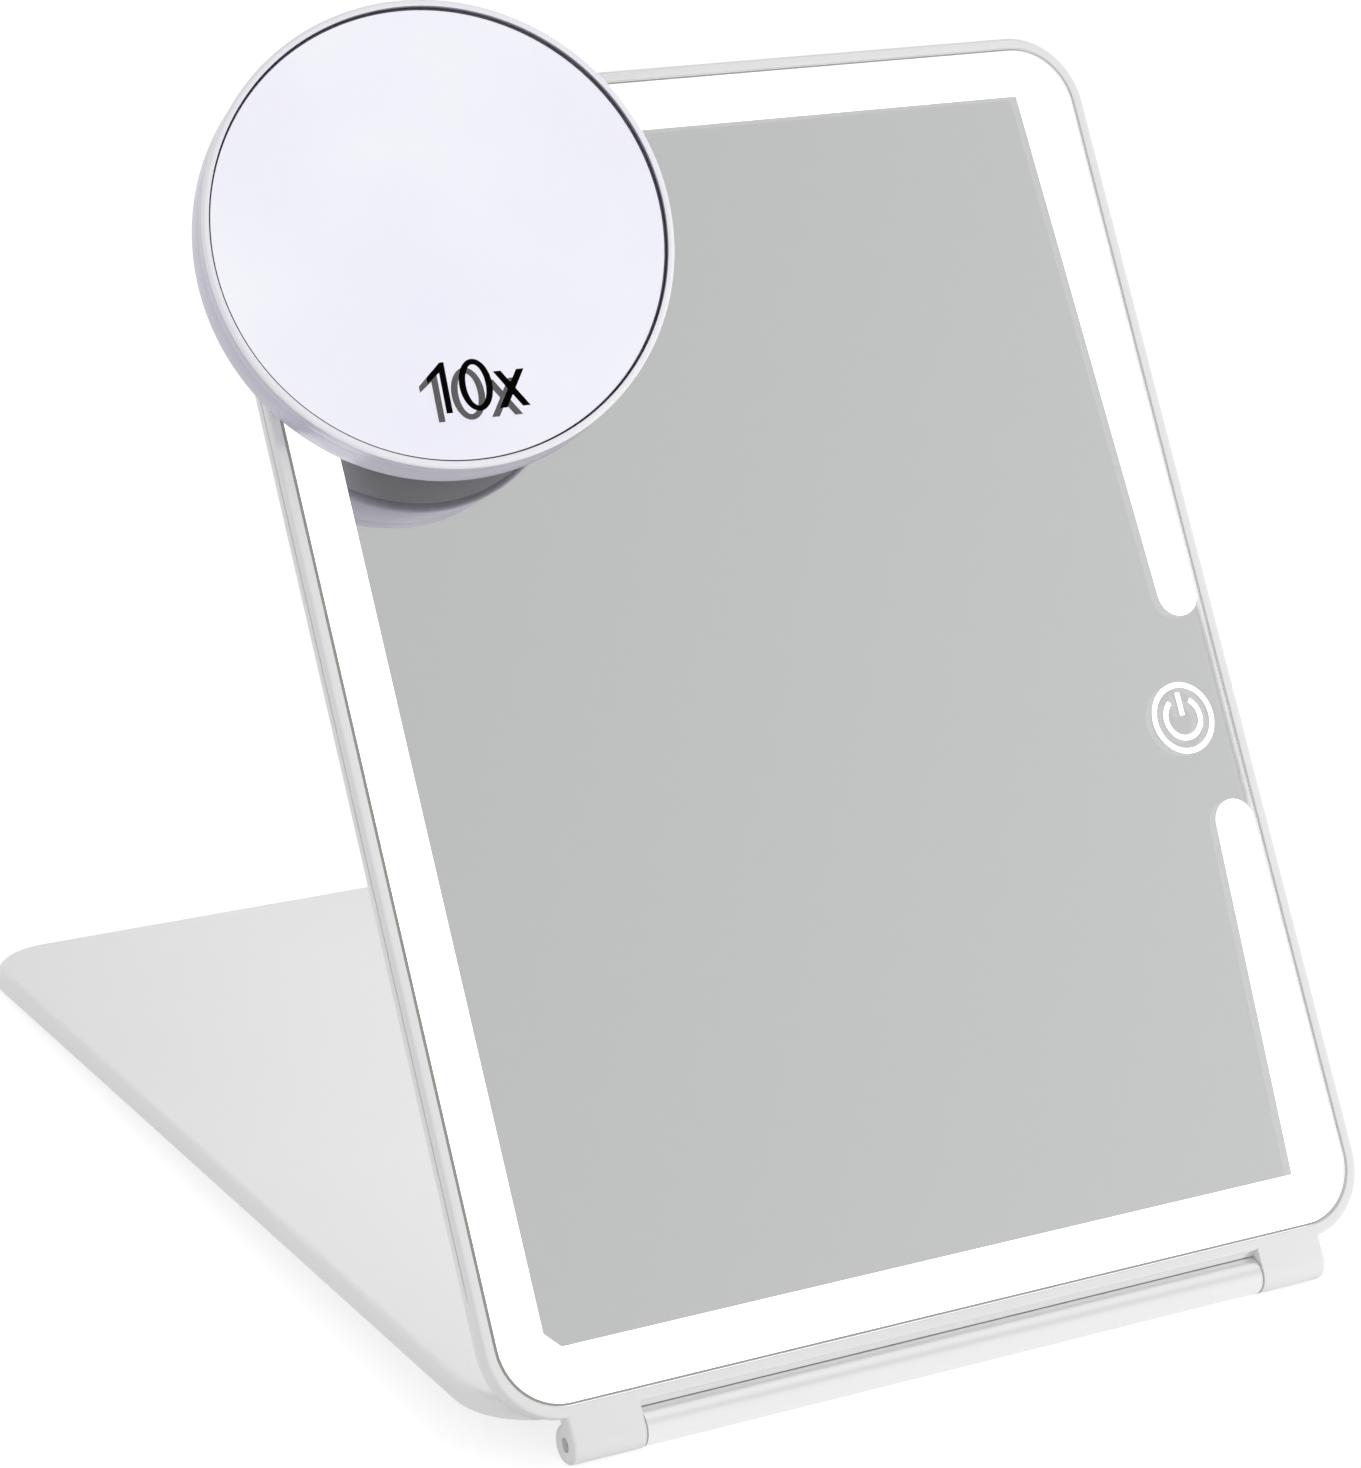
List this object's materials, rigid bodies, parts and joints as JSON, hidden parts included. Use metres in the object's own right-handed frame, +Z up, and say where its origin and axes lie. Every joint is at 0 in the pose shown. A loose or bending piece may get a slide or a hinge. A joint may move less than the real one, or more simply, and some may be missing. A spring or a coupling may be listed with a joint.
{
  "type": "lighted folding travel mirror",
  "caption": "Tablet-like travel mirror with a lit border and touch key, on a folding cover that is its stand, with a round stick-on magnifier on a ball joint.",
  "frame": {"origin": "on the table, under the middle of the open mirror's bounding box", "axes": "+X to the right along the hinge for someone who looks into the glass, +Y away from them, +Z up"},
  "size_m": [0.1792, 0.2234, 0.2107],
  "materials": {
    "moulded_abs": "fine moulded grain",
    "clear_glass": "polished",
    "silver_coat": "mirror",
    "opal_acrylic": "milky",
    "backing_sheet": "matt",
    "led_tape": "matt",
    "led_package": "gloss",
    "electrode_brass": "satin",
    "circuit_board": "solder mask",
    "plated_steel": "plated",
    "battery_pouch": "satin foil",
    "lead_sheath": "matt",
    "nylon": "matt",
    "anodised_aluminium": "bead-blasted and anodised",
    "lining_sheet": "embossed soft sheet",
    "soft_rubber": "matt",
    "clear_silicone": "satin",
    "lavender_abs": "polished moulding",
    "acetal": "satin"
  },
  "bodies": {
    "panel": {"front_frame": "moulded_abs", "mirror_glass": "clear_glass", "mirror_silvering": "silver_coat", "light_diffuser": "opal_acrylic", "backing_plate": "backing_sheet", "rear_shell": "moulded_abs", "led_strips": "led_tape", "led_chips": "led_package", "touch_electrode": "electrode_brass", "control_board": "circuit_board", "board_screws": "plated_steel", "charging_socket": "plated_steel", "battery_cell": "battery_pouch", "battery_lead": "lead_sheath", "hinge_pins": "plated_steel", "hinge_washers": "nylon"},
    "cover": {"cover_shell": "moulded_abs", "cover_lining": "lining_sheet", "cover_pads": "soft_rubber", "hinge_barrel": "anodised_aluminium", "leaf_screws": "plated_steel", "friction_bushes": "nylon"},
    "magnifier_mount": {"suction_cup": "clear_silicone", "ball_stud": "acetal"},
    "magnifier_head": {"magnifier_housing": "lavender_abs", "ball_retainer": "acetal", "retainer_screws": "plated_steel", "magnifier_bezel": "lavender_abs", "magnifier_glass": "clear_glass", "magnifier_silvering": "silver_coat"}
  },
  "joints": [
    {"name": "cover_fold", "type": "hinge", "parent": "panel", "child": "cover", "pos_m": [0.00489, -0.10838, 0.0033], "axis": [-1, 0, 0], "range_deg": [0, 286]},
    {"name": "magnifier_pull", "type": "slide", "parent": "panel", "child": "magnifier_mount", "axis": [0, -0.8485, 0.5292], "range_m": [0, 0.006]},
    {"name": "magnifier_turn", "type": "hinge", "parent": "magnifier_mount", "child": "magnifier_head", "pos_m": [-0.04966, -0.01716, 0.17204], "axis": [0, 0.5292, 0.8485], "range_deg": [-2, 22]}
  ]
}
